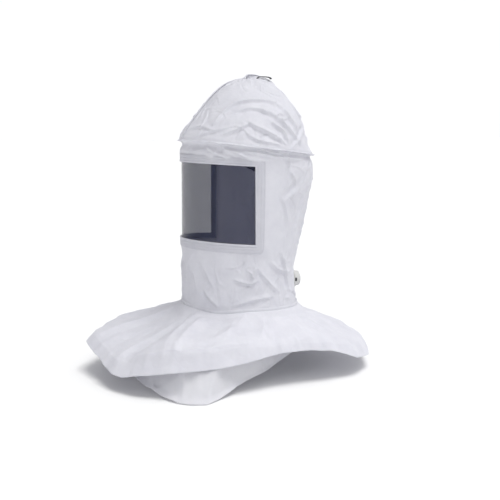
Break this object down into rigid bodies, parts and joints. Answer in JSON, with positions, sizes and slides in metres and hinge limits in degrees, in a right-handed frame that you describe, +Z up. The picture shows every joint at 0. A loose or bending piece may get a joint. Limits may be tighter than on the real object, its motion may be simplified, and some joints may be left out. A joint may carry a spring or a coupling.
{
  "type": "powered air respirator hood",
  "caption": "Loose-fitting powered air respirator hood in white sheet fabric with a curved smoke visor, shoulder cape, inner bib, ratchet head harness, internal air duct and swivel air inlet.",
  "frame": {"origin": "centre of the headband, where the head harness sits on the wearer's head", "axes": "-Y the way the wearer faces, +X the wearer's left, +Z up"},
  "size_m": [0.4855, 0.6302, 0.638],
  "materials": {
    "hood_fabric": "white spunbonded sheet, fine random fibre texture, crisp wrinkles",
    "bib_fabric": "white spunbonded sheet",
    "facing_fabric": "white folded and stitched facing",
    "visor_film": "clear flexible film with a smoke tint",
    "black_webbing": "narrow black webbing",
    "strap_plastic": "semi-flexible black strap plastic",
    "pad_foam": "foam pad in dark brushed cloth",
    "metal_small": "bright small hardware",
    "ratchet_plastic": "moulded dark plastic",
    "gear_plastic": "black acetal",
    "duct_plastic": "moulded grey plastic",
    "hose_rubber": "grey corrugated rubber",
    "seal_rubber": "black rubber",
    "connector_plastic": "off-white moulded plastic",
    "latch_plastic": "black moulded plastic",
    "hoop_plastic": "translucent springy plastic"
  },
  "bodies": {
    "hood": {"hood_body": "hood_fabric", "crown_left": "hood_fabric", "crown_right": "hood_fabric", "crown_seam_binding": "hood_fabric", "ridge_binding": "hood_fabric", "visor_film": "visor_film", "visor_facing": "facing_fabric", "outer_cape": "hood_fabric", "inner_bib": "bib_fabric", "inlet_patch": "facing_fabric", "hang_loop": "black_webbing", "headband": "strap_plastic", "sweatband": "pad_foam", "strap_studs": "metal_small", "temple_pins": "metal_small", "duct_lower": "duct_plastic", "duct_cover": "duct_plastic", "hose_adapter": "duct_plastic", "inner_hose": "hose_rubber", "inlet_elbow": "duct_plastic", "inlet_spigot": "connector_plastic", "inlet_gasket": "seal_rubber", "inlet_nut": "connector_plastic", "inlet_o_ring": "seal_rubber", "retaining_ring": "metal_small", "air_nozzle": "duct_plastic", "nozzle_grille": "duct_plastic", "hood_hoop": "hoop_plastic", "hoop_arm_left": "duct_plastic", "hoop_arm_right": "duct_plastic", "brow_bracket": "duct_plastic", "rear_bracket": "duct_plastic"},
    "crown_straps": {"crown_strap_side": "strap_plastic", "crown_strap_front": "strap_plastic", "crown_rivet": "metal_small", "crown_pad": "pad_foam"},
    "nape": {"nape_arm_left": "strap_plastic", "nape_arm_right": "strap_plastic", "ratchet_housing": "ratchet_plastic", "ratchet_cover": "ratchet_plastic", "cover_screws": "metal_small", "detent_spring": "metal_small", "nape_pad": "pad_foam"},
    "knob": {"ratchet_knob": "ratchet_plastic", "ratchet_pinion": "gear_plastic", "knob_screw": "metal_small"},
    "rack_l": {"rack_left": "gear_plastic"},
    "rack_r": {"rack_right": "gear_plastic"},
    "swivel": {"swivel_collar": "connector_plastic"},
    "latch_l": {"latch_button_left": "latch_plastic"},
    "latch_r": {"latch_button_right": "latch_plastic"}
  },
  "joints": [
    {"name": "crown_height", "type": "slide", "parent": "hood", "child": "crown_straps", "axis": [0, 0, 1], "range_m": [-0.005, 0.008]},
    {"name": "nape_tilt", "type": "hinge", "parent": "hood", "child": "nape", "pos_m": [0, 0.008, 0], "axis": [1, 0, 0], "range_deg": [-8, 5]},
    {"name": "ratchet_turn", "type": "hinge", "parent": "nape", "child": "knob", "pos_m": [0, 0.008, 0], "axis": [0, 0.8829, -0.4695], "range_deg": [-72, 72]},
    {"name": "rack_left_slide", "type": "slide", "parent": "nape", "child": "rack_l", "axis": [1, 0, 0], "range_m": [-0.008, 0.008]},
    {"name": "rack_right_slide", "type": "slide", "parent": "nape", "child": "rack_r", "axis": [-1, 0, 0], "range_m": [-0.008, 0.008]},
    {"name": "collar_turn", "type": "hinge", "parent": "hood", "child": "swivel", "pos_m": [0, 0.13, -0.282], "axis": [0, 1, 0], "continuous": true},
    {"name": "latch_left_press", "type": "slide", "parent": "swivel", "child": "latch_l", "axis": [-1, 0, 0], "range_m": [0, 0.0015], "stiffness_N_per_m": 400, "springref_m": -0.002},
    {"name": "latch_right_press", "type": "slide", "parent": "swivel", "child": "latch_r", "axis": [1, 0, 0], "range_m": [0, 0.0015], "stiffness_N_per_m": 400, "springref_m": -0.002}
  ],
  "couplings": [
    {"joint": "rack_left_slide", "follows": "ratchet_turn", "m_per_rad": 0.0063},
    {"joint": "rack_right_slide", "follows": "ratchet_turn", "m_per_rad": 0.0063}
  ]
}
